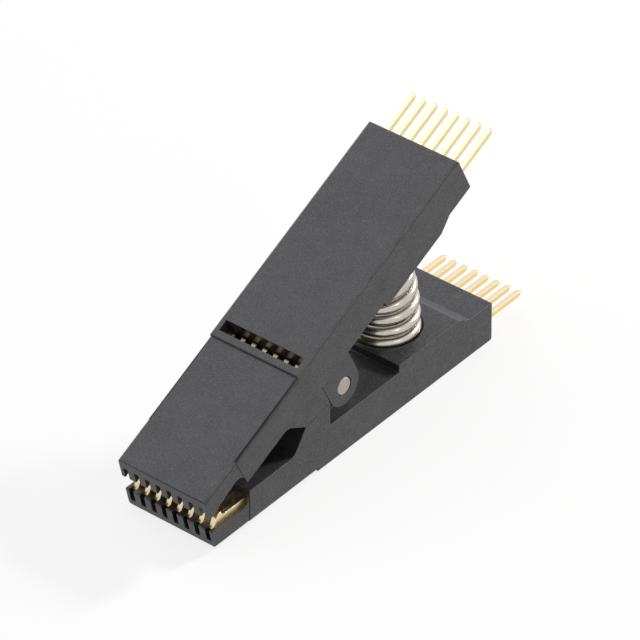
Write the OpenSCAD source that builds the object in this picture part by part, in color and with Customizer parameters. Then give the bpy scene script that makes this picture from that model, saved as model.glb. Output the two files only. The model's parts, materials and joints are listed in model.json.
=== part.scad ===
// Test clip for small-outline chips. Two hinged moulded halves are pushed shut at the nose
// by a coil spring between their handles. Each half carries a row of contacts, and each
// contact runs back through the half and ends as a square pin behind the handle.
//
// +Y runs from the nose to the pins, +X across the clip and +Z up. The lower half lies on
// its handle face at z = 0, and the origin is under the middle of the whole clip. Lengths
// of a half are measured from its nose corner, and heights from its handle face.

/* [Contact rows] */
// Distance between neighbouring contacts
contact_pitch = 1.27; // [1.2:0.01:1.5]
// From the outer contact's centre line to the side face
row_margin = 0.705; // [0.65:0.005:1.2]
// Clearance all round a contact in its channel
channel_gap = 0.04; // [0.02:0.005:0.06]

/* [Halves] */
// Length of a half
half_l = 39.76; // [38:0.02:46]
// Angle between the two handle faces with the nose closed
open_angle = 25.17; // [23:0.01:28]
// Length from the nose corner to the hinge axis
hinge_y = 18.22; // [17.5:0.01:19.5]
// Height of the hinge axis
hinge_z = 7.44; // [7.2:0.01:8]
// Thickness of a half under the hinge
floor_z = 4.36; // [4:0.01:4.7]
// Thickness of a half at its rear end
rear_z = 4.32; // [3.8:0.01:4.8]
// Length of the flat rear end
rear_l = 3.34; // [2:0.01:4]
// Length of the ramp in front of the flat rear end
ramp_l = 1.7; // [1:0.01:2.5]
// Radius of the heel, the outer corner of the rear end
heel_r = 0.9; // [0.3:0.05:1.5]
// Radius of the long outer edges
side_r = 0.3; // [0.1:0.05:0.4]
// Radius of the small moulded edges
edge_r = 0.12; // [0.05:0.01:0.2]

/* [Nose] */
// Length of the recessed face of the nose
nose_l = 14.36; // [13:0.01:14.8]
// Depth of that recess below the handle face
nose_recess = 0.3; // [0.1:0.01:0.5]
// Height of the inner edge at the tip
tip_z = 2.0; // [1.8:0.01:2.2]
// Depth of the mouth that grips the chip
mouth_l = 4.72; // [4.2:0.01:5.2]
// Height of the inner face at the back of the mouth
mouth_z = 2.35; // [2.2:0.01:2.6]
// Radius of the corner at the back of the mouth
mouth_r = 1; // [0.5:0.05:1.2]
// Height of the inner face behind the mouth
waist_z = 3.85; // [3.6:0.01:4]
// Slope of the cheek that rises from the waist to the stop face
cheek_angle = 54; // [45:1:70]
// Radius at the foot of the cheek
cheek_r = 1.2; // [0.5:0.05:1.5]
// Length of the stop face, where the closed halves meet
stop_l = 3.45; // [2.5:0.01:4]
// Gap between the closed stop faces
stop_gap = 0.02; // [0.01:0.005:0.04]
// How far the sides of the mouth stand in from the side faces
mouth_inset = 0.05; // [0.02:0.01:0.1]
// Floor height of the comb slots in the lower half
lower_comb_z = 0.95; // [0.8:0.01:1.6]
// Floor height of the comb slots in the upper half
upper_comb_z = 1.3; // [0.8:0.01:1.6]
// Wall left between the comb slots and the back of the mouth
comb_back = 0.6; // [0.3:0.05:1]

/* [Window] */
// Distance of the window behind the recessed nose face
window_back = 0.74; // [0.4:0.01:1]
// Length of the window
window_l = 1.15; // [1:0.01:1.5]
// From the end of the window to the side face
window_margin = 0.6; // [0.5:0.01:1]

/* [Hinge] */
// Radius of the round ear ends
ear_r = 2.05; // [1.6:0.01:2.2]
// Thickness of an ear
ear_t = 1.35; // [1:0.05:1.6]
// How far an outer ear stands in from the side face
ear_inset = 0.1; // [0.05:0.01:0.2]
// Clearance between neighbouring ears, and between an ear and the stop wall
ear_gap = 0.1; // [0.05:0.01:0.15]
// Diameter of the hinge pin
hinge_d = 1.85; // [1.4:0.05:2]
// Radial clearance of the hinge pin
hinge_gap = 0.03; // [0.02:0.005:0.06]
// Chamfer on the hinge pin's ends
hinge_chamfer = 0.12; // [0.05:0.01:0.2]

/* [Spring] */
// Outer diameter of the spring
spring_d = 7.3; // [6.4:0.1:7.6]
// Wire diameter of the spring
wire_d = 1; // [0.7:0.05:1.1]
// Number of turns of the spring
spring_turns = 7.25; // [6:0.25:7.5]
// Thickness of a half at the spring pad
pad_z = 5.15; // [4.9:0.01:5.4]
// Depth of the round spring seat in the pad
seat_depth = 1; // [0.6:0.05:1.4]
// Radial clearance of the spring in its seat
seat_gap = 0.13; // [0.08:0.01:0.2]
// Rim of the pad in front of the seat
seat_front = 0.2; // [0.15:0.01:0.5]
// Rim of the pad behind the seat
seat_back = 0.98; // [0.5:0.01:1.5]

/* [Contacts] */
// Thickness of the contact blade
blade_t = 0.44; // [0.3:0.01:0.5]
// Height of the contact blade
blade_h = 0.9; // [0.75:0.01:1]
// Distance of the contact's tip behind the nose corner
tip_back = 0.25; // [0.1:0.01:0.5]
// Distance of the contact point from the plane between the halves
tip_gap = 0.26; // [0.2:0.01:0.4]
// Side of the square pin
pin_w = 0.52; // [0.45:0.01:0.6]
// Height of the square pin's axis
pin_z = 2.3; // [2.2:0.01:2.5]
// Length of the square pin behind the half
pin_out = 5.24; // [4:0.01:7]
// Length of the pin's pointed end
point_l = 0.45; // [0.2:0.01:0.7]
// Side of the flat on the pin's pointed end
point_w = 0.18; // [0.1:0.01:0.3]
// Depth of the barb's end below the handle face
barb_depth = 0.25; // [0.1:0.01:0.5]
// Thickness of the barb
barb_t = 0.28; // [0.2:0.01:0.4]

/* [Hidden] */
contacts_per_row = 8;

// Widths across the clip
row_w = (contacts_per_row - 1) * contact_pitch;
body_w = row_w + 2 * row_margin;
window_w = body_w - 2 * window_margin;
channel_w = blade_t + 2 * channel_gap;
pin_hole_w = pin_w + 2 * channel_gap;

// Hinge and the plane between the halves
half_angle = open_angle / 2;
hinge = [hinge_y, hinge_z];
wall_y = hinge_y - ear_r - ear_gap;
stop_y = wall_y - stop_l;
cheek_y = stop_y - (mid_z(stop_y) - stop_gap - waist_z) / tan(cheek_angle);

// Places along a half, from the rear end forwards
ramp_y = half_l - rear_l;
pad_back_y = ramp_y - ramp_l;
seat_r = spring_d / 2 + seat_gap;
spring_y = pad_back_y - seat_back - seat_r;
pad_front_y = spring_y - seat_r - seat_front;
window_y = nose_l + window_back;
window_back_y = window_y + window_l;

// Heights of the contact
blade_z = pin_z - pin_w / 2;
blade_top_z = blade_z + blade_h;
pin_top_z = pin_z + pin_w / 2;
tip_top_z = mid_z(tip_back) - tip_gap;
barb_y = window_y;
barb_back_y = barb_y + barb_t;
blade_back_y = window_back_y - barb_t;

// Spring: its axis is an arc round the line where the two seat planes meet
seat_z = pad_z - seat_depth;
coil_r = (spring_d - wire_d) / 2;
arc_y = hinge_y - (hinge_z - seat_z) / tan(half_angle);
arc_r = spring_y - arc_y;
end_lift = asin((wire_d / 2 + channel_gap) / (arc_r - coil_r));
close_lift = asin((wire_d + channel_gap) / (arc_r - coil_r));
open_turns = spring_turns - 2;
wire_sides = 8;
rings_per_turn = 24;
spring_rings = ceil(spring_turns * rings_per_turn);

// Middle of the clip's length, from the upper nose corner to the lower pin ends
front_y = across_mid([0, nose_recess])[0];
back_y = half_l + pin_out;
mid_y = (front_y + back_y) / 2;

arc_steps = 6;
past = 1;
body_color = [0.13, 0.13, 0.14];
gold_color = [0.83, 0.68, 0.36];
steel_color = [0.72, 0.70, 0.66];

// Height of the plane between the closed halves at length y
function mid_z(y) = hinge_z - (hinge_y - y) * tan(half_angle);

// A side-view point of one half, carried to the same point of the other half
function across_mid(p) =
    let (u = [cos(half_angle), sin(half_angle)], v = p - hinge)
    hinge + 2 * (v * u) * u - v;

function unit(v) = v / norm(v);
function direction(v) = atan2(v[1], v[0]);
function short_way(a) = a > 180 ? a - 360 : a < -180 ? a + 360 : a;

// The corner p between a and b, rounded to radius r
function rounded_corner(a, p, b, r) =
    r == 0 ? [p] :
    let (
        u = unit(a - p),
        v = unit(b - p),
        bend = acos(u * v) / 2,
        centre = p + unit(u + v) * r / sin(bend),
        start = direction(p + u * r / tan(bend) - centre),
        sweep = short_way(direction(p + v * r / tan(bend) - centre) - start)
    )
    [for (i = [0 : arc_steps]) centre + r * [
        cos(start + sweep * i / arc_steps),
        sin(start + sweep * i / arc_steps)
    ]];

// A closed outline from corners given as [x, y, radius]
function rounded(corners) =
    let (n = len(corners), flat = [for (c = corners) [c[0], c[1]]])
    [for (i = [0 : n - 1]) each rounded_corner(
        flat[(i + n - 1) % n], flat[i], flat[(i + 1) % n], corners[i][2]
    )];

// Side view of a half, from its nose corner round by the handle face
half_outline = rounded([
    [0, nose_recess, edge_r],
    [nose_l, nose_recess, 0],
    [nose_l, 0, edge_r],
    [half_l, 0, heel_r],
    [half_l, rear_z, edge_r],
    [ramp_y, rear_z, edge_r],
    [pad_back_y, pad_z, edge_r],
    [pad_front_y, pad_z, edge_r],
    [pad_front_y, floor_z, edge_r],
    [wall_y, floor_z, edge_r],
    [wall_y, mid_z(wall_y) - stop_gap, edge_r],
    [stop_y, mid_z(stop_y) - stop_gap, edge_r],
    [cheek_y, waist_z, cheek_r],
    [mouth_l, waist_z, edge_r],
    [mouth_l, mouth_z, mouth_r],
    [-(tip_z - nose_recess) * tan(half_angle), tip_z, edge_r]
]);

// Side view of a contact, from the lower front of its tip to its barb
contact_outline = [
    [tip_back + 0.3 * blade_h, blade_z],
    [tip_back, blade_z + 0.3 * blade_h],
    [tip_back, tip_top_z - 0.4 * blade_h],
    [tip_back + 0.25 * blade_h, tip_top_z],
    [tip_back + 0.55 * blade_h, tip_top_z],
    [tip_back + 1.1 * blade_h, blade_top_z],
    [blade_back_y, blade_top_z],
    [blade_back_y, pin_top_z],
    [back_y - point_l, pin_top_z],
    [back_y, pin_z + point_w / 2],
    [back_y, pin_z - point_w / 2],
    [back_y - point_l, blade_z],
    [barb_back_y, blade_z],
    [barb_back_y, barb_depth],
    [barb_y, barb_depth],
    [barb_y, blade_z]
];

// Side view of the cut that holds a contact's blade and barb, above a comb slot floor
function channel_outline(comb_z) =
    let (low_z = blade_z - channel_gap, comb_y = mouth_l - comb_back)
    [
        [-hinge_z, comb_z],
        [comb_y, comb_z],
        [comb_y, low_z],
        [barb_y - channel_gap, low_z],
        [barb_y - channel_gap, barb_depth - channel_gap],
        [barb_back_y + channel_gap, barb_depth - channel_gap],
        [barb_back_y + channel_gap, low_z],
        [blade_back_y + channel_gap, low_z],
        [blade_back_y + channel_gap, blade_top_z + channel_gap],
        [-hinge_z, blade_top_z + channel_gap]
    ];

// Top view of a contact: half its width and the length where that width applies
contact_edge = [
    [blade_t / 2, 0],
    [blade_t / 2, blade_back_y],
    [pin_w / 2, blade_back_y],
    [pin_w / 2, back_y - point_l],
    [point_w / 2, back_y]
];
contact_plan = concat(
    contact_edge,
    [for (i = [len(contact_edge) - 1 : -1 : 0]) [-contact_edge[i][0], contact_edge[i][1]]]
);

// Distance across the clip of contact i, counted from the left of the lower half
function contact_x(i) = (i - (contacts_per_row + 1) / 2) * contact_pitch;

// Stands a side-view shape up across the clip, centred, w wide
module across(w) {
    rotate([90, 0, 90]) linear_extrude(w, center = true) children();
}

// A bar along the clip from y0 to y1, with its two lower edges rounded at height z0
module bar(w, z0, y0, y1) {
    top = hinge_z + ear_r;
    section = rounded([
        [-w / 2, z0, side_r],
        [w / 2, z0, side_r],
        [w / 2, top, 0],
        [-w / 2, top, 0]
    ]);
    translate([0, y1, 0]) rotate([90, 0, 0]) linear_extrude(y1 - y0) polygon(section);
}

// A square-cut box, centred across the clip, from y0 to y1 and z0 to z1
module square_cut(w, y0, y1, z0, z1) {
    translate([-w / 2, y0, z0]) cube([w, y1 - y0, z1 - z0]);
}

// The moulded block of a half, before it is cut
module half_block() {
    intersection() {
        across(body_w) polygon(half_outline);
        union() {
            bar(body_w, 0, nose_l, half_l + past);
            bar(body_w, nose_recess, mouth_l, nose_l);
            bar(body_w - 2 * mouth_inset, nose_recess, -hinge_z, mouth_l);
        }
    }
}

// A hinge ear whose outer face is at x, reaching towards the middle of the clip
module ear(x) {
    side = x > 0 ? -1 : 1;
    translate([x + side * ear_t / 2, 0, 0]) across(ear_t) {
        translate(hinge) circle(ear_r, $fn = 64);
        translate([hinge_y - ear_r, floor_z - past]) square([2 * ear_r, hinge_z - floor_z + past]);
    }
}

// Cut for one contact: its comb slot and blade channel, and the hole for its pin
module contact_cut(comb_z) {
    across(channel_w) polygon(channel_outline(comb_z));
    square_cut(pin_hole_w, blade_back_y - channel_gap, half_l + past,
        blade_z - channel_gap, pin_top_z + channel_gap);
}

// One half, lying on its handle face
module half(comb_z) {
    outer_ear_x = -(body_w / 2 - ear_inset);
    inner_ear_x = body_w / 2 - ear_inset - ear_t - ear_gap;
    color(body_color) difference() {
        union() {
            half_block();
            ear(outer_ear_x);
            ear(inner_ear_x);
        }
        for (i = [1 : contacts_per_row]) translate([contact_x(i), 0, 0]) contact_cut(comb_z);
        square_cut(window_w, window_y, window_back_y, -past, blade_top_z + 2 * channel_gap);
        translate([0, spring_y, seat_z]) cylinder(r = seat_r, h = pad_z, $fn = 96);
        translate([0, hinge_y, hinge_z]) rotate([0, 90, 0])
            cylinder(d = hinge_d + 2 * hinge_gap, h = 2 * body_w, center = true, $fn = 48);
    }
}

// Contact i of a half
module contact(i) {
    color(gold_color) translate([contact_x(i), 0, 0]) intersection() {
        across(2 * pin_w) polygon(contact_outline);
        linear_extrude(hinge_z) polygon(contact_plan);
    }
}

// Turns what belongs to the lower half into the upper half's place
module as_upper() {
    translate([0, hinge_y, hinge_z]) rotate([half_angle, 0, 0]) rotate([0, 180, 0])
        rotate([-half_angle, 0, 0]) translate([0, -hinge_y, -hinge_z]) children();
}

// Moves the clip so that the origin is under its middle
module placed() {
    translate([0, -mid_y, 0]) children();
}

module lower_jaw() {
    placed() half(lower_comb_z);
}

module upper_jaw() {
    placed() as_upper() half(upper_comb_z);
}

module lower_contact(i) {
    placed() contact(i);
}

module upper_contact(i) {
    placed() as_upper() contact(i);
}

// Hinge pin, a turned pin with chamfered ends
module hinge_pin() {
    pin_r = hinge_d / 2;
    pin_l = body_w - 2 * ear_inset;
    color(steel_color) placed() translate([-pin_l / 2, hinge_y, hinge_z]) rotate([0, 90, 0])
        rotate_extrude($fn = 48) polygon([
            [0, 0],
            [pin_r - hinge_chamfer, 0],
            [pin_r, hinge_chamfer],
            [pin_r, pin_l - hinge_chamfer],
            [pin_r - hinge_chamfer, pin_l],
            [0, pin_l]
        ]);
}

// Angle along the spring's arc after u turns: closed end turns and open turns between
function coil_angle(u) =
    let (open = open_angle - 2 * (end_lift + close_lift))
    end_lift + close_lift * min(u, 1)
    + open * max(0, min(u - 1, open_turns)) / open_turns
    + close_lift * max(0, u - 1 - open_turns);

// Centre of the wire after u turns
function coil_point(u) =
    let (a = coil_angle(u), r = arc_r + coil_r * cos(360 * u))
    [coil_r * sin(360 * u), arc_y + r * cos(a), seat_z + r * sin(a)];

// Ring of points round the wire after u turns
function wire_ring(u) =
    let (
        step = 1 / rings_per_turn / 4,
        along = unit(coil_point(u + step) - coil_point(u - step)),
        a = coil_angle(u),
        out = [sin(360 * u), cos(360 * u) * cos(a), cos(360 * u) * sin(a)],
        side = unit(cross(along, out)),
        up = cross(side, along)
    )
    [for (k = [0 : wire_sides - 1]) coil_point(u) + wire_d / 2 * (
        cos(360 * k / wire_sides) * up + sin(360 * k / wire_sides) * side
    )];

module spring() {
    n = wire_sides;
    last = spring_rings * n;
    rings = [for (i = [0 : spring_rings]) each wire_ring(spring_turns * i / spring_rings)];
    walls = [for (i = [0 : spring_rings - 1], k = [0 : n - 1])
        [i * n + k, i * n + (k + 1) % n, (i + 1) * n + (k + 1) % n, (i + 1) * n + k]];
    ends = [[for (k = [n - 1 : -1 : 0]) k], [for (k = [0 : n - 1]) last + k]];
    color(steel_color) placed() polyhedron(rings, concat(walls, ends));
}

lower_jaw();
upper_jaw();
hinge_pin();
spring();
for (i = [1 : contacts_per_row]) {
    lower_contact(i);
    upper_contact(i);
}
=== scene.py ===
"""Finish and studio for a sprung test clip that grips a small-outline chip.

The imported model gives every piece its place. The moulded halves, the contacts and the hinge
pin are taken from it with their edges broken, the spring is wound anew, and each piece gets
its finish here. Lengths are in metres, in the model's own frame: +Y runs from the nose to the
square pins, +X across the clip and +Z up.
"""

import json
import logging
import math
from collections.abc import Callable
from dataclasses import dataclass, field
from enum import Enum
from functools import partial

import bmesh
import bpy
from mathutils import Matrix, Vector

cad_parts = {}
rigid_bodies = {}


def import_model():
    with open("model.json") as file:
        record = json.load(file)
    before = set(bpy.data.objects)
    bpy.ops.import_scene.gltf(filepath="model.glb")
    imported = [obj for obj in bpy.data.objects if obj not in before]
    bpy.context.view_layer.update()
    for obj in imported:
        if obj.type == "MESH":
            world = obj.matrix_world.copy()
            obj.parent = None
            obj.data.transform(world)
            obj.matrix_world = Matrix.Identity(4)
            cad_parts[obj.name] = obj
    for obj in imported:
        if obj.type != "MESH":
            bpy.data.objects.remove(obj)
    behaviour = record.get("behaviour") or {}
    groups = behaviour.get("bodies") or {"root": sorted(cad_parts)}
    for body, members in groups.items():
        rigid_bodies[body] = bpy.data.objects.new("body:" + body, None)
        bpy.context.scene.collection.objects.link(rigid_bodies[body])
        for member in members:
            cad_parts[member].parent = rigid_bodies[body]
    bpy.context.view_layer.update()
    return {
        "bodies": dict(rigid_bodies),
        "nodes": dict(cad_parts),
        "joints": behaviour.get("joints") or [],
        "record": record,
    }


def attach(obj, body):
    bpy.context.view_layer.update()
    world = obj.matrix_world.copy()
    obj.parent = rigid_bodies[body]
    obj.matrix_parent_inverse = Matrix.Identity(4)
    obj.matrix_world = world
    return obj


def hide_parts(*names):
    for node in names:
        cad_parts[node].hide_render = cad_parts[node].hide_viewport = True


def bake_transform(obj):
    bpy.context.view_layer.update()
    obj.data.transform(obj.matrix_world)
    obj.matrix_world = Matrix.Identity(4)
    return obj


LOG = logging.getLogger("test_clip")
MM = 0.001
# Attribute with each vertex's place in its half's own frame, in millimetres.
OWN_PLACE = "own_place"
# Half of the angle between the handle faces with the nose closed.
HALF_OPEN = math.radians(25.17 / 2)
# Vertices this close are one, and faces this nearly level are one face.
WELD = 0.0005 * MM
LEVEL = math.radians(0.8)
# How far off a crosswise plane the two ends of an edge may be, taken together.
ON_PLANE = 0.002 * MM
# Faces that meet at less than this are shaded as one smooth face.
SMOOTH_BELOW = math.radians(35.0)
# Places of the colour mix node's sockets.
MIX_FACTOR, MIX_A, MIX_B, MIX_RESULT = 0, 6, 7, 2


class Body(Enum):
    """The two rigid bodies of the clip."""

    LOWER = "lower_half"
    UPPER = "upper_half"


class Slot(Enum):
    """The record's material slots."""

    BODY = "body"
    GOLD = "contact_gold"
    SPRING = "spring_steel"
    PIN = "pin_steel"


# ---------------------------------------------------------------- shader helpers


@dataclass
class NodeSheet:
    """One node tree, with short ways to add and join its nodes."""

    tree: bpy.types.NodeTree

    def add(self, kind: str, **settings: object) -> bpy.types.Node:
        """Adds a node and sets its plain settings.

        Args:
            kind: The node's class name.
            **settings: Attribute names and their values.

        Returns:
            The new node.
        """
        node = self.tree.nodes.new(kind)
        for name, value in settings.items():
            setattr(node, name, value)
        return node

    def join(self, source: bpy.types.NodeSocket, target: bpy.types.NodeSocket) -> None:
        """Joins an output socket to an input socket."""
        self.tree.links.new(source, target)

    def fill(self, node: bpy.types.Node, **values: object) -> bpy.types.Node:
        """Sets a node's input sockets by name, joining those given as sockets.

        Args:
            node: The node whose inputs are set.
            **values: Socket names, with underscores for spaces, and a value or a socket.

        Returns:
            The same node.
        """
        for name, value in values.items():
            socket = node.inputs[name.replace("_", " ")]
            if isinstance(value, bpy.types.NodeSocket):
                self.join(value, socket)
            else:
                socket.default_value = value
        return node

    def noise(self, coords: bpy.types.NodeSocket, scale: float, detail: float = 2.0,
              roughness: float = 0.5) -> bpy.types.NodeSocket:
        """Adds a noise texture.

        Args:
            coords: Socket with the coordinates to read.
            scale: Cells per metre.
            detail: Number of finer octaves.
            roughness: Strength of the finer octaves.

        Returns:
            The socket with the noise value, about 0.5 on average.
        """
        node = self.add("ShaderNodeTexNoise")
        self.fill(node, Vector=coords, Scale=scale, Detail=detail, Roughness=roughness)
        return node.outputs["Fac"]

    def remap(self, value: bpy.types.NodeSocket, low: float, high: float,
              to_low: float = 0.0, to_high: float = 1.0) -> bpy.types.NodeSocket:
        """Stretches a value from one range to another, clamped.

        Args:
            value: Socket to read.
            low: Value that becomes to_low.
            high: Value that becomes to_high.
            to_low: Result at low.
            to_high: Result at high.

        Returns:
            The socket with the stretched value.
        """
        node = self.add("ShaderNodeMapRange", clamp=True)
        self.join(value, node.inputs["Value"])
        for name, number in (("From Min", low), ("From Max", high),
                             ("To Min", to_low), ("To Max", to_high)):
            node.inputs[name].default_value = number
        return node.outputs["Result"]

    def math(self, operation: str, a: object, b: object = 0.0) -> bpy.types.NodeSocket:
        """Adds a calculation on one or two values.

        Args:
            operation: Name of the operation, such as MULTIPLY.
            a: First number or socket.
            b: Second number or socket.

        Returns:
            The socket with the result.
        """
        node = self.add("ShaderNodeMath", operation=operation)
        for socket, value in zip(node.inputs, (a, b)):
            if isinstance(value, bpy.types.NodeSocket):
                self.join(value, socket)
            else:
                socket.default_value = value
        return node.outputs[0]

    def blend(self, mask: object, a: object, b: object) -> bpy.types.NodeSocket:
        """Mixes two colours.

        Args:
            mask: Number or socket, 0 for the first colour and 1 for the second.
            a: First colour or socket.
            b: Second colour or socket.

        Returns:
            The socket with the mixed colour.
        """
        node = self.add("ShaderNodeMix", data_type="RGBA")
        for index, value in ((MIX_FACTOR, mask), (MIX_A, a), (MIX_B, b)):
            if isinstance(value, bpy.types.NodeSocket):
                self.join(value, node.inputs[index])
            else:
                node.inputs[index].default_value = value
        return node.outputs[MIX_RESULT]

    def seen_directly(self) -> bpy.types.NodeSocket:
        """Adds a mask of the rays that show a thing itself and not the light from it.

        Returns:
            The socket, 1 for camera, glossy and transmission rays and 0 for others.
        """
        path = self.add("ShaderNodeLightPath")
        return self.math("MAXIMUM", path.outputs["Is Camera Ray"],
                         self.math("MAXIMUM", path.outputs["Is Glossy Ray"],
                                   path.outputs["Is Transmission Ray"]))


def new_group(name: str, inputs: dict[str, float], outputs: dict[str, str]) -> NodeSheet:
    """Makes an empty shader node group with its sockets.

    Args:
        name: Name of the group.
        inputs: Float input names and their defaults, beside the Coords input.
        outputs: Output names and their socket types.

    Returns:
        The group's sheet, holding one input node and one output node.
    """
    tree = bpy.data.node_groups.new(name, "ShaderNodeTree")
    tree.interface.new_socket("Coords", in_out="INPUT", socket_type="NodeSocketVector")
    for socket_name, default in inputs.items():
        socket = tree.interface.new_socket(
            socket_name, in_out="INPUT", socket_type="NodeSocketFloat")
        socket.default_value = default
    for socket_name, kind in outputs.items():
        tree.interface.new_socket(socket_name, in_out="OUTPUT", socket_type=kind)
    sheet = NodeSheet(tree)
    sheet.add("NodeGroupInput", name="in")
    sheet.add("NodeGroupOutput", name="out")
    return sheet


class SharedEffects:
    """The node groups that the finishes use, each built once.

    The grain adds a fine noise to a coarse one, FINE_SCALE times finer and FINE_SHARE as
    high. The edge mask, part rub marks of wear and part painted highlight, lies in patches
    along the rounded long edges: it grows where the surface begins to turn sideways
    (EDGE_START) and ends where it faces straight sideways (EDGE_END).
    """

    FINE_SCALE = 2.7
    FINE_SHARE = 0.5
    CLOUD_RANGE = (0.3, 0.7)
    EDGE_START = (0.15, 0.45)
    EDGE_END = (0.97, 0.85)
    PATCHES_PER_M = 900.0
    PATCH_RANGE = (0.35, 0.65)
    LEAST_RUB_AND_HIGHLIGHT = 0.35

    def __init__(self) -> None:
        """Builds the groups."""
        self.grain = self._build_grain()
        self.wear_and_highlight = self._build_wear_and_highlight()

    def _build_grain(self) -> bpy.types.NodeTree:
        """Builds a fine eroded or drawn grain.

        Returns:
            A group that puts out Height, for a bump, Tone, for colour and roughness, and
            Cloud, for slow changes over a whole face.
        """
        sheet = new_group(
            "fine_grain", {"Cell Size": 0.1, "Cloud Size": 2.5, "Contrast": 1.0},
            {"Height": "NodeSocketFloat", "Tone": "NodeSocketFloat",
             "Cloud": "NodeSocketFloat"})
        source = sheet.tree.nodes["in"].outputs
        sink = sheet.tree.nodes["out"].inputs
        scaled = sheet.add("ShaderNodeVectorMath", operation="SCALE")
        sheet.fill(scaled, Vector=source["Coords"])
        sheet.join(sheet.math("DIVIDE", 1.0 / MM, source["Cell Size"]), scaled.inputs["Scale"])
        coords = scaled.outputs["Vector"]
        coarse = sheet.noise(coords, 1.0, detail=3.0, roughness=0.65)
        fine = sheet.noise(coords, self.FINE_SCALE, detail=1.0, roughness=0.5)
        height = sheet.math("ADD", coarse, sheet.math("MULTIPLY", fine, self.FINE_SHARE))
        tone = sheet.math("MULTIPLY", sheet.math("SUBTRACT", coarse, 0.5), source["Contrast"])
        slow = sheet.add("ShaderNodeVectorMath", operation="SCALE")
        sheet.fill(slow, Vector=source["Coords"])
        sheet.join(sheet.math("DIVIDE", 1.0 / MM, source["Cloud Size"]), slow.inputs["Scale"])
        cloud = sheet.noise(slow.outputs["Vector"], 1.0, detail=4.0, roughness=0.6)
        sheet.join(height, sink["Height"])
        sheet.join(sheet.math("ADD", tone, 0.5), sink["Tone"])
        sheet.join(sheet.remap(cloud, *self.CLOUD_RANGE), sink["Cloud"])
        return sheet.tree

    def _build_wear_and_highlight(self) -> bpy.types.NodeTree:
        """Builds the rub marks of handling along rounded edges, which also serve as a painted
        highlight.

        Returns:
            A group that puts out the Edge mask.
        """
        sheet = new_group("handling_wear_and_highlight", {"Amount": 0.5}, {"Edge": "NodeSocketFloat"})
        source = sheet.tree.nodes["in"].outputs
        sink = sheet.tree.nodes["out"].inputs
        geometry = sheet.add("ShaderNodeNewGeometry")
        own = sheet.add("ShaderNodeVectorTransform", vector_type="NORMAL",
                        convert_from="WORLD", convert_to="OBJECT")
        sheet.join(geometry.outputs["Normal"], own.inputs["Vector"])
        parts = sheet.add("ShaderNodeSeparateXYZ")
        sheet.join(own.outputs["Vector"], parts.inputs["Vector"])
        across = sheet.math("ABSOLUTE", parts.outputs["X"])
        # Rounded long edges, for rub marks and a painted highlight.
        edge = sheet.math("MULTIPLY", sheet.remap(across, *self.EDGE_START),
                          sheet.remap(across, *self.EDGE_END))
        patches = sheet.noise(source["Coords"], self.PATCHES_PER_M, detail=3.0, roughness=0.6)
        rubbed_and_highlight = sheet.math("MULTIPLY", edge,
                            sheet.remap(patches, *self.PATCH_RANGE, self.LEAST_RUB_AND_HIGHLIGHT, 1.0))
        sheet.join(sheet.math("MULTIPLY", rubbed_and_highlight, source["Amount"]), sink["Edge"])
        return sheet.tree


def new_material(name: str) -> tuple[bpy.types.Material, NodeSheet, bpy.types.Node]:
    """Makes a material with one Principled shader.

    Args:
        name: Name of the material.

    Returns:
        The material, its sheet and its Principled node.
    """
    material = bpy.data.materials.new(name)
    material.use_nodes = True
    sheet = NodeSheet(material.node_tree)
    return material, sheet, material.node_tree.nodes["Principled BSDF"]


def object_coords(sheet: NodeSheet) -> bpy.types.NodeSocket:
    """Adds the object's own coordinates to a material and returns their socket."""
    return sheet.add("ShaderNodeTexCoord").outputs["Object"]


def use_group(sheet: NodeSheet, tree: bpy.types.NodeTree, **values: object) -> bpy.types.Node:
    """Places a shared group in a material.

    Args:
        sheet: The material's sheet.
        tree: The group to place.
        **values: Input names, with underscores for spaces, and a value or a socket.

    Returns:
        The group node.
    """
    node = sheet.add("ShaderNodeGroup", node_tree=tree)
    return sheet.fill(node, **values)


# ---------------------------------------------------------------- finishes


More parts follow.
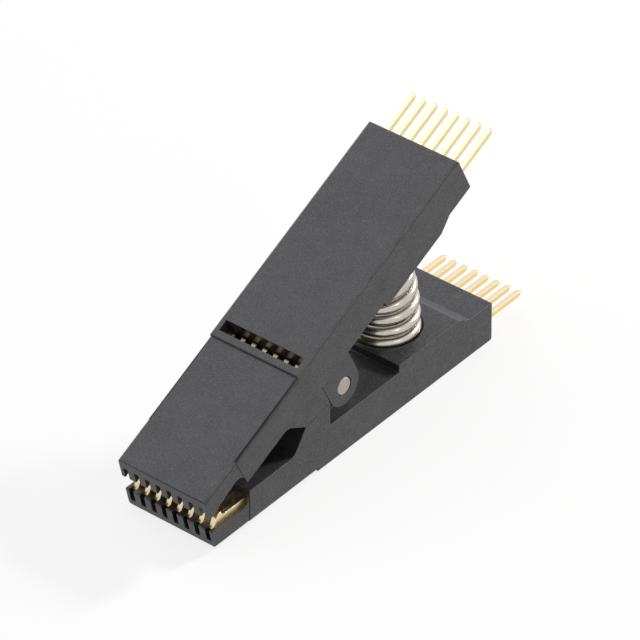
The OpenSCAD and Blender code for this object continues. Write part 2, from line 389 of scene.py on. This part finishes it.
@dataclass(frozen=True)
class MouldedPlastic:
    """Black glass-filled plastic with the fine texture of an eroded mould."""

    name: str
    dark: tuple[float, float, float] = (0.012, 0.012, 0.014)
    light: tuple[float, float, float] = (0.086, 0.085, 0.095)
    fibre: tuple[float, float, float] = (0.16, 0.16, 0.18)
    # Lighter colour on the rounded long edges: part rub marks, part painted highlight.
    rubbed_and_highlight: tuple[float, float, float] = (0.2, 0.185, 0.15)
    grain_mm: float = 0.13
    cloud_mm: float = 2.6
    cloud_share: float = 0.3
    contrast: float = 3.0
    tone_range: tuple[float, float] = (0.1, 0.9)
    fibre_range: tuple[float, float] = (0.86, 1.1)
    # Strength of the edge colour, part wear and part painted highlight.
    wear_and_highlight: float = 0.8
    grain_bump: float = 0.3
    grain_depth_mm: float = 0.02
    rough_low: float = 0.3
    rough_high: float = 0.46

    def build(self, effects: SharedEffects) -> bpy.types.Material:
        """Builds the material.

        Args:
            effects: The shared groups.

        Returns:
            The finished material.
        """
        material, sheet, shader = new_material(self.name)
        coords = object_coords(sheet)
        grain = use_group(sheet, effects.grain, Coords=coords, Cell_Size=self.grain_mm,
                          Cloud_Size=self.cloud_mm, Contrast=self.contrast)
        # Edge mask for rub marks and a painted highlight.
        wear_and_highlight = use_group(sheet, effects.wear_and_highlight, Coords=coords, Amount=self.wear_and_highlight)
        tone = grain.outputs["Tone"]
        cloud = sheet.math("MULTIPLY", sheet.math("SUBTRACT", grain.outputs["Cloud"], 0.5),
                           self.cloud_share)
        mottled = sheet.remap(sheet.math("ADD", tone, cloud), 0.0, 1.0)
        colour = sheet.blend(mottled, (*self.dark, 1.0), (*self.light, 1.0))
        specks = sheet.remap(tone, *self.fibre_range)
        speckled = sheet.blend(specks, colour, (*self.fibre, 1.0))
        # Lightens the rounded long edges: part rub marks, part painted highlight.
        worn_and_highlit = sheet.blend(wear_and_highlight.outputs["Edge"], speckled, (*self.rubbed_and_highlight, 1.0))
        bump = sheet.add("ShaderNodeBump")
        sheet.fill(bump, Strength=self.grain_bump, Distance=self.grain_depth_mm * MM,
                   Height=grain.outputs["Height"])
        sheet.fill(shader, Base_Color=worn_and_highlit, Normal=bump.outputs["Normal"],
                   Roughness=sheet.remap(mottled, *self.tone_range,
                                         self.rough_high, self.rough_low))
        return material


@dataclass(frozen=True)
class PlatedMetal:
    """Thin plating over spring metal, with faint drawing marks.

    It may carry painted shade over a stretch of the half's length, where the metal runs into
    the mould: a dark colour that stands in for the shadow there.
    """

    name: str
    colour: tuple[float, float, float]
    shade: tuple[float, float, float]
    grain_mm: float = 0.08
    contrast: float = 1.2
    tone_range: tuple[float, float] = (0.2, 0.8)
    rough_low: float = 0.16
    rough_high: float = 0.34
    stretch: tuple[float, float, float] = (1.0, 0.06, 1.0)
    bump: float = 0.08
    bump_depth_mm: float = 0.005
    # Painted shade: the stretch of length, in mm along the half, darkened to stand in for
    # shadow.
    painted_shade_mm: tuple[float, float] | None = None
    painted_shade_fade_mm: float = 0.15
    painted_shade: tuple[float, float, float] = (0.02, 0.015, 0.01)

    def build(self, effects: SharedEffects) -> bpy.types.Material:
        """Builds the material.

        Args:
            effects: The shared groups.

        Returns:
            The finished material.
        """
        material, sheet, shader = new_material(self.name)
        mapping = sheet.add("ShaderNodeMapping")
        sheet.fill(mapping, Vector=object_coords(sheet), Scale=self.stretch)
        grain = use_group(sheet, effects.grain, Coords=mapping.outputs["Vector"],
                          Cell_Size=self.grain_mm, Contrast=self.contrast)
        tone = grain.outputs["Tone"]
        colour = sheet.blend(tone, (*self.shade, 1.0), (*self.colour, 1.0))
        # Painted shade: darkens the colour over the given stretch of the half's length.
        if self.painted_shade_mm:
            place = sheet.add("ShaderNodeAttribute", attribute_name=OWN_PLACE)
            parts = sheet.add("ShaderNodeSeparateXYZ")
            sheet.join(place.outputs["Vector"], parts.inputs["Vector"])
            low, high = self.painted_shade_mm
            fade = self.painted_shade_fade_mm
            mask = sheet.math("MULTIPLY", sheet.remap(parts.outputs["Y"], low, low + fade),
                              sheet.remap(parts.outputs["Y"], high, high - fade))
            colour = sheet.blend(mask, colour, (*self.painted_shade, 1.0))
        bump = sheet.add("ShaderNodeBump")
        sheet.fill(bump, Strength=self.bump, Distance=self.bump_depth_mm * MM,
                   Height=grain.outputs["Height"])
        sheet.fill(shader, Base_Color=colour, Normal=bump.outputs["Normal"],
                   Roughness=sheet.remap(tone, *self.tone_range,
                                         self.rough_high, self.rough_low))
        shader.inputs["Metallic"].default_value = 1.0
        return material


# The gold carries painted shade from 16.0 to 16.7 mm along its half.
GOLD = PlatedMetal("pale_gold_plating", colour=(0.87, 0.73, 0.44), shade=(0.76, 0.61, 0.35),
                   rough_low=0.28, rough_high=0.4, painted_shade_mm=(16.0, 16.7))
HINGE_STEEL = PlatedMetal("turned_steel", colour=(0.46, 0.43, 0.38), shade=(0.34, 0.31, 0.27),
                          grain_mm=0.12, rough_low=0.3, rough_high=0.5, stretch=(0.1, 1.0, 1.0))
SPRING_STEEL = PlatedMetal("drawn_spring_steel", colour=(0.6, 0.57, 0.51),
                           shade=(0.47, 0.44, 0.38), grain_mm=0.5, rough_low=0.2,
                           rough_high=0.26, stretch=(1.0, 1.0, 1.0), bump=0.02)


# ---------------------------------------------------------------- pieces


@dataclass(frozen=True)
class BrokenEdge:
    """How the sharp edges of a solid are broken."""

    width: float
    segments: int = 2
    tip_segments: int = 4
    sharper_than: float = math.radians(28.0)


@dataclass(frozen=True)
class HalfPlace:
    """Where a half lies, and the lengths along it that its pieces share.

    Places are taken in the half's own frame, that of the lower half: lengths are measured
    from the nose corner, along the handle face, and heights from the handle face.
    """

    body: Body
    hinge: Vector
    hinge_l: float = 18.22 * MM
    half_angle: float = HALF_OPEN

    def to_own(self) -> Matrix:
        """Finds the turn from the frame to the half's own frame.

        Returns:
            The turn, which is its own reverse but for the shift to the nose corner.
        """
        shift = Matrix.Translation((0.0, self.hinge_l - self.hinge.y, 0.0))
        if self.body is Body.LOWER:
            return shift
        axis = Vector((0.0, math.cos(self.half_angle), math.sin(self.half_angle)))
        turn = Matrix.Rotation(math.pi, 4, axis)
        return shift @ Matrix.Translation(self.hinge) @ turn @ Matrix.Translation(-self.hinge)


def soften(node: str, name: str, edge: BrokenEdge, place: HalfPlace,
           shaping: Callable[[bmesh.types.BMesh], None] | None = None,
           plain_at: tuple[float, ...] = (),
           tip: tuple[float, float] | None = None) -> bpy.types.Object:
    """Copies a solid of the frame, shapes it further and breaks its sharp edges.

    Args:
        node: Name of the solid in the frame.
        name: Name of the new piece.
        edge: Width and steps of the broken edges.
        place: Where the half lies.
        shaping: Moves made to the copy in the half's own frame.
        plain_at: Lengths along the half whose crosswise edges stay sharp.
        tip: Length of a tip, and the width that its edges are broken to.

    Returns:
        The new piece, in place.
    """
    shape = bmesh.new()
    shape.from_mesh(bpy.data.objects[node].data)
    bmesh.ops.remove_doubles(shape, verts=shape.verts, dist=WELD)
    bmesh.ops.dissolve_limit(shape, angle_limit=LEVEL, use_dissolve_boundaries=False,
                             verts=shape.verts, edges=shape.edges)
    to_own = place.to_own()
    bmesh.ops.transform(shape, matrix=to_own, verts=shape.verts)
    if shaping:
        shaping(shape)
    if tip:
        tip_l, tip_width = tip
        rounded = [e for e in shape.edges
                   if len(e.link_faces) == 2 and e.calc_face_angle(0.0) > edge.sharper_than
                   and max(v.co.y for v in e.verts) < tip_l]
        bmesh.ops.bevel(shape, geom=rounded, offset=tip_width, offset_type="OFFSET",
                        affect="EDGES", segments=edge.tip_segments, profile=0.5, material=-1,
                        clamp_overlap=True)
    sharp = [e for e in shape.edges
             if len(e.link_faces) == 2 and e.calc_face_angle(0.0) > edge.sharper_than
             and not any(abs(e.verts[0].co.y - y) + abs(e.verts[1].co.y - y) < ON_PLANE
                         for y in plain_at)]
    bmesh.ops.bevel(shape, geom=sharp, offset=edge.width, offset_type="OFFSET", affect="EDGES",
                    segments=edge.segments, profile=0.5, material=-1, clamp_overlap=False)
    own_place = shape.verts.layers.float_vector.new(OWN_PLACE)
    for vert in shape.verts:
        vert[own_place] = vert.co / MM
    bmesh.ops.transform(shape, matrix=to_own.inverted(), verts=shape.verts)
    bmesh.ops.recalc_face_normals(shape, faces=shape.faces)
    mesh = bpy.data.meshes.new(name)
    shape.to_mesh(mesh)
    shape.free()
    piece = bpy.data.objects.new(name, mesh)
    bpy.context.scene.collection.objects.link(piece)
    mesh.shade_smooth()
    mesh.set_sharp_from_angle(angle=SMOOTH_BELOW)
    normals = piece.modifiers.new("flat_faces", "WEIGHTED_NORMAL")
    normals.keep_sharp = True
    return piece


def finish_piece(piece: bpy.types.Object, material: bpy.types.Material, body: Body,
                 slot: Slot, *nodes: str) -> None:
    """Gives a piece its finish, its body and the solids that it stands for.

    Args:
        piece: The piece.
        material: Its finish.
        body: The body that it moves with.
        slot: The record's slot for its finish; not used.
        *nodes: The solids that it replaces.
    """
    piece.data.materials.clear()
    piece.data.materials.append(material)
    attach(piece, body.value)
    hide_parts(*nodes)
    LOG.info("%s: %d faces", piece.name, len(piece.data.polygons))


@dataclass
class MouldedHalves:
    """The two moulded halves."""

    places: tuple[HalfPlace, ...]
    edge: BrokenEdge = BrokenEdge(width=0.05 * MM)
    lip_l: float = 3.72 * MM
    lip_rises: tuple[float, float] = (0.33 * MM, 0.56 * MM)
    lip_band: tuple[float, float] = (1.8 * MM, 2.4 * MM)
    step_lengths: tuple[float, ...] = (4.72 * MM, 14.36 * MM)
    half_l: float = 39.76 * MM
    heel_r: float = 0.9 * MM
    heel_share: float = 0.35
    near: float = 0.01 * MM

    def tighten_heel(self, shape: bmesh.types.BMesh) -> None:
        """Brings the outer corner of the rear end to a smaller radius.

        Args:
            shape: The half, in its own frame.
        """
        for vert in shape.verts:
            back = vert.co.y - self.half_l + self.heel_r
            down = self.heel_r - vert.co.z
            on_heel = abs(math.hypot(back, down) - self.heel_r) < self.near
            if on_heel and min(back, down) > -self.near:
                vert.co.y = self.half_l + (vert.co.y - self.half_l) * self.heel_share
                vert.co.z *= self.heel_share

    def shape_half(self, lip_rise: float, shape: bmesh.types.BMesh) -> None:
        """Brings the teeth at the tip of the nose up to their full height, and shapes the heel.

        Args:
            lip_rise: How far the teeth grow at the tip.
            shape: The half, in its own frame.
        """
        low, high = self.lip_band
        for vert in shape.verts:
            if vert.co.y < self.lip_l and low < vert.co.z < high:
                rise = lip_rise * (1.0 - max(vert.co.y, 0.0) / self.lip_l)
                vert.co.z += rise
                if vert.co.y < 0.0:
                    vert.co.y -= rise * math.tan(self.places[0].half_angle)
        self.tighten_heel(shape)

    def build(self, effects: SharedEffects) -> None:
        """Builds both halves with their finish.

        Args:
            effects: The shared groups.
        """
        plastic = MouldedPlastic("black_glass_filled_plastic").build(effects)
        nodes = ("lower_jaw", "upper_jaw")
        for node, place, rise in zip(nodes, self.places, self.lip_rises):
            piece = soften(node, f"{node}_moulding", self.edge, place,
                           partial(self.shape_half, rise), self.step_lengths)
            finish_piece(piece, plastic, place.body, Slot.BODY, node)


@dataclass(frozen=True)
class ContactTip:
    """How far a row's tips stand forward and up, and how far their fronts lean back."""

    forward: float
    rise: float
    lean: float


@dataclass
class ContactRows:
    """The gold plated contacts of both halves."""

    places: tuple[HalfPlace, ...]
    per_row: int = 8
    edge: BrokenEdge = BrokenEdge(width=0.03 * MM)
    tips: tuple[ContactTip, ...] = (
        ContactTip(forward=0.16 * MM, rise=0.2 * MM, lean=0.5),
        ContactTip(forward=-0.5 * MM, rise=0.0, lean=0.0))
    tip_l: float = 1.3 * MM
    tip_back: float = 0.25 * MM
    tip_half_w: float = 0.29 * MM
    wide_l: float = 1.0 * MM
    raised_l: float = 1.1 * MM
    front_lift: float = 0.08 * MM
    tip_lowest: float = 1.97 * MM
    shoulder_z: float = 2.6 * MM
    barb_below: float = 1.54 * MM
    barb_z: float = 0.6 * MM
    barb_back: float = 15.38 * MM
    barb_trim: float = 0.11 * MM
    tip_round: float = 0.08 * MM
    near: float = 0.01 * MM

    def shape_tip(self, tip: ContactTip, shape: bmesh.types.BMesh) -> None:
        """Squares the lower front of the tip, places its point and trims the barb.

        Args:
            tip: How this row's tips stand.
            shape: The contact, in its half's own frame.
        """
        middle = sum(vert.co.x for vert in shape.verts) / len(shape.verts)
        for vert in shape.verts:
            if vert.co.y < self.tip_l:
                at_front = vert.co.y < self.tip_back + self.near
                if vert.co.z > self.shoulder_z and vert.co.y < self.raised_l:
                    vert.co.z += tip.rise
                elif vert.co.z < self.shoulder_z:
                    vert.co.z = self.tip_lowest + (self.front_lift if at_front else 0.0)
                vert.co.y -= tip.forward
                if at_front or vert.co.z > self.shoulder_z:
                    vert.co.y += tip.lean * (vert.co.z - self.tip_lowest)
                if vert.co.y < self.wide_l:
                    vert.co.x = middle + math.copysign(self.tip_half_w, vert.co.x - middle)
            elif vert.co.z < self.barb_below:
                vert.co.z = self.barb_z
            if abs(vert.co.y - self.barb_back) < self.near:
                vert.co.y -= self.barb_trim

    def build(self, effects: SharedEffects) -> None:
        """Builds every contact with its finish.

        Args:
            effects: The shared groups.
        """
        gold = GOLD.build(effects)
        for row, place, tip in zip(("lower", "upper"), self.places, self.tips):
            for number in range(1, self.per_row + 1):
                node = f"{row}_contact_{number}"
                piece = soften(node, f"{node}_plated", self.edge, place,
                               partial(self.shape_tip, tip), tip=(self.tip_l, self.tip_round))
                finish_piece(piece, gold, place.body, Slot.GOLD, node)


@dataclass
class HingePin:
    """The steel pin through the four ears."""

    place: HalfPlace
    edge: BrokenEdge = BrokenEdge(width=0.03 * MM)

    def build(self, effects: SharedEffects) -> None:
        """Builds the pin with its finish.

        Args:
            effects: The shared groups.
        """
        piece = soften("hinge_pin", "hinge_pin_turned", self.edge, self.place)
        finish_piece(piece, HINGE_STEEL.build(effects), Body.LOWER, Slot.PIN, "hinge_pin")


@dataclass
class CoilSpring:
    """The compression spring, wound on an arc between the two seats."""

    outer_d: float = 7.3 * MM
    wire_d: float = 1.0 * MM
    turns: float = 6.93
    end_turns: int = 1
    start_turn: float = 0.22
    half_angle: float = HALF_OPEN
    seat_z: float = 4.15 * MM
    axis_y: float = 8.1133 * MM
    lift: float = 0.04 * MM
    sides: int = 20
    rings_per_turn: int = 48
    probe: float = 0.002
    smooth_below: float = math.radians(40.0)
    hinge: Vector = field(default_factory=Vector)

    def coil_r(self) -> float:
        """Returns the radius from the spring's axis to the middle of its wire."""
        return (self.outer_d - self.wire_d) / 2

    def arc(self) -> tuple[float, float]:
        """Returns the arc's centre, as a length along Y, and its radius."""
        centre_y = self.hinge.y - (self.hinge.z - self.seat_z) / math.tan(self.half_angle)
        return centre_y, self.axis_y - centre_y

    def angle(self, turn: float) -> float:
        """Finds how far round the arc the wire has come.

        Args:
            turn: Turns wound so far.

        Returns:
            The angle from the lower seat, in radians.
        """
        near_r = self.arc()[1] - self.coil_r()
        end = math.asin((self.wire_d / 2 + self.lift) / near_r)
        closed = math.asin((self.wire_d + self.lift) / near_r)
        open_turns = self.turns - 2 * self.end_turns
        span = 2 * self.half_angle - 2 * (end + closed)
        middle = max(0.0, min(turn - self.end_turns, open_turns)) / open_turns
        last = max(0.0, turn - self.end_turns - open_turns)
        return end + closed * min(turn, self.end_turns) + span * middle + closed * last

    def wire_frame(self, turn: float) -> Matrix:
        """Finds where the wire's section stands.

        Args:
            turn: Turns wound so far.

        Returns:
            The section's place, with X out of the coil, Y along the axis and Z along the wire.
        """
        centre_y, radius = self.arc()
        place = {}
        for step in (-self.probe, 0.0, self.probe):
            phase = 2 * math.pi * (turn + step - self.start_turn)
            bend = self.angle(turn + step)
            reach = radius + self.coil_r() * math.cos(phase)
            place[step] = Vector((self.coil_r() * math.sin(phase),
                                  centre_y + reach * math.cos(bend),
                                  self.seat_z + reach * math.sin(bend)))
        phase = 2 * math.pi * (turn - self.start_turn)
        bend = self.angle(turn)
        along = (place[self.probe] - place[-self.probe]).normalized()
        out = Vector((math.sin(phase), math.cos(phase) * math.cos(bend),
                      math.cos(phase) * math.sin(bend)))
        side = along.cross(out).normalized()
        frame = Matrix((side.cross(along), side, along)).transposed().to_4x4()
        frame.translation = place[0.0]
        return frame

    def build(self, effects: SharedEffects) -> None:
        """Winds the spring and gives it its finish.

        Args:
            effects: The shared groups.
        """
        shape = bmesh.new()
        made = bmesh.ops.create_circle(shape, cap_ends=True, segments=self.sides,
                                       radius=self.wire_d / 2)
        frame = self.wire_frame(0.0)
        bmesh.ops.transform(shape, matrix=frame, verts=made["verts"])
        edges = list(shape.edges)
        rings = round(self.turns * self.rings_per_turn)
        for ring in range(1, rings + 1):
            grown = bmesh.ops.extrude_edge_only(shape, edges=edges)["geom"]
            edges = [e for e in grown if isinstance(e, bmesh.types.BMEdge)]
            following = self.wire_frame(self.turns * ring / rings)
            bmesh.ops.transform(shape, matrix=following @ frame.inverted(),
                                verts=[v for v in grown if isinstance(v, bmesh.types.BMVert)])
            frame = following
        bmesh.ops.contextual_create(shape, geom=edges)
        bmesh.ops.recalc_face_normals(shape, faces=shape.faces)
        mesh = bpy.data.meshes.new("spring_wire")
        shape.to_mesh(mesh)
        shape.free()
        mesh.shade_smooth()
        mesh.set_sharp_from_angle(angle=self.smooth_below)
        piece = bpy.data.objects.new("spring_wire", mesh)
        bpy.context.scene.collection.objects.link(piece)
        mesh.materials.append(SPRING_STEEL.build(effects))
        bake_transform(piece)
        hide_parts("spring")
        LOG.info("%s: %d faces", piece.name, len(mesh.polygons))


# ---------------------------------------------------------------- studio


@dataclass(frozen=True)
class Lamp:
    """One soft rectangular lamp that faces the clip."""

    name: str
    azimuth: float
    elevation: float
    distance: float
    size: float
    watts: float
    tint: tuple[float, float, float] = (1.0, 1.0, 1.0)


@dataclass
class Studio:
    """Floor, lamps, surround and camera."""

    target: Vector = field(default_factory=lambda: Vector((-0.568, -0.2105, 10.268)) * MM)
    azimuth: float = 39.82
    elevation: float = 36.974
    roll: float = -0.706
    distance: float = 0.49667
    lens: float = 307.98
    sensor: float = 36.0
    sees: tuple[float, float] = (0.01, 10.0)
    floor_size: float = 3.0
    floor_tone: float = 0.25
    floor_roughness: float = 0.9
    floor_glow: float = 0.8
    soft_light: float = 0.1
    lamps: tuple[Lamp, ...] = (
        Lamp("key_behind", azimuth=162.0, elevation=26.0, distance=0.6, size=0.08, watts=2.6,
             tint=(1.0, 0.98, 0.95)),
        Lamp("top_left", azimuth=282.0, elevation=60.0, distance=0.7, size=0.95, watts=3.0,
             tint=(0.95, 0.97, 1.0)),
        Lamp("edge_right", azimuth=86.0, elevation=36.0, distance=0.7, size=0.12, watts=0.2,
             tint=(1.0, 0.93, 0.82)),
    )

    def offset(self, azimuth: float, elevation: float) -> Vector:
        """Returns the unit vector from the clip towards a place seen at these angles."""
        a, e = math.radians(azimuth), math.radians(elevation)
        return Vector((math.sin(a) * math.cos(e), -math.cos(a) * math.cos(e), math.sin(e)))

    def add_camera(self) -> None:
        """Adds the camera that sees the whole clip from its nose end."""
        data = bpy.data.cameras.new("camera")
        data.lens = self.lens
        data.sensor_width = self.sensor
        data.clip_start, data.clip_end = self.sees
        camera = bpy.data.objects.new("camera", data)
        bpy.context.scene.collection.objects.link(camera)
        back = self.offset(self.azimuth, self.elevation)
        turn = (-back).to_track_quat("-Z", "Y").to_matrix().to_4x4()
        camera.matrix_world = (Matrix.Translation(self.target + back * self.distance)
                               @ turn @ Matrix.Rotation(math.radians(self.roll), 4, "Z"))
        bpy.context.scene.camera = camera

    def add_lamps(self) -> None:
        """Adds the lamps, each facing the clip."""
        for lamp in self.lamps:
            data = bpy.data.lights.new(lamp.name, "AREA")
            data.size = lamp.size
            data.energy = lamp.watts
            data.color = lamp.tint
            light = bpy.data.objects.new(lamp.name, data)
            bpy.context.scene.collection.objects.link(light)
            back = self.offset(lamp.azimuth, lamp.elevation)
            turn = (-back).to_track_quat("-Z", "Y").to_matrix().to_4x4()
            light.matrix_world = Matrix.Translation(self.target + back * lamp.distance) @ turn

    def add_floor(self) -> None:
        """Adds a white floor that keeps the clip's shadow."""
        shape = bmesh.new()
        bmesh.ops.create_grid(shape, x_segments=1, y_segments=1, size=self.floor_size / 2)
        mesh = bpy.data.meshes.new("floor")
        shape.to_mesh(mesh)
        shape.free()
        floor = bpy.data.objects.new("floor", mesh)
        bpy.context.scene.collection.objects.link(floor)
        material, sheet, shader = new_material("white_table")
        shader.inputs["Base Color"].default_value = (*(self.floor_tone,) * 3, 1.0)
        shader.inputs["Roughness"].default_value = self.floor_roughness
        shader.inputs["Specular IOR Level"].default_value = 0.0
        glow = sheet.add("ShaderNodeEmission")
        glow.inputs["Strength"].default_value = self.floor_glow
        both = sheet.add("ShaderNodeAddShader")
        mix = sheet.add("ShaderNodeMixShader")
        sheet.join(shader.outputs[0], both.inputs[0])
        sheet.join(glow.outputs[0], both.inputs[1])
        sheet.join(sheet.seen_directly(), mix.inputs[0])
        sheet.join(shader.outputs[0], mix.inputs[1])
        sheet.join(both.outputs[0], mix.inputs[2])
        out = material.node_tree.nodes["Material Output"]
        sheet.join(mix.outputs[0], out.inputs["Surface"])
        mesh.materials.append(material)

    def add_surround(self) -> None:
        """Sets the soft surround light and the white that shows behind the clip."""
        world = bpy.data.worlds.new("surround")
        world.use_nodes = True
        bpy.context.scene.world = world
        sheet = NodeSheet(world.node_tree)
        back = world.node_tree.nodes["Background"]
        back.inputs["Color"].default_value = (1.0, 1.0, 1.0, 1.0)
        sheet.join(sheet.remap(sheet.seen_directly(), 0.0, 1.0, self.soft_light, 1.0),
                   back.inputs["Strength"])

    def build(self) -> None:
        """Builds the whole studio."""
        self.add_camera()
        self.add_lamps()
        self.add_floor()
        self.add_surround()
        bpy.context.scene.view_settings.view_transform = "Standard"


def main() -> None:
    """Builds the clip and its studio."""
    logging.basicConfig(level=logging.INFO, format="%(name)s: %(message)s")
    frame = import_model()
    hinge = Vector(frame["joints"][0]["pos_m"])
    places = (HalfPlace(Body.LOWER, hinge), HalfPlace(Body.UPPER, hinge))
    effects = SharedEffects()
    Studio().build()
    MouldedHalves(places).build(effects)
    ContactRows(places).build(effects)
    HingePin(places[0]).build(effects)
    CoilSpring(hinge=hinge).build(effects)


if __name__ == "__main__":
    main()
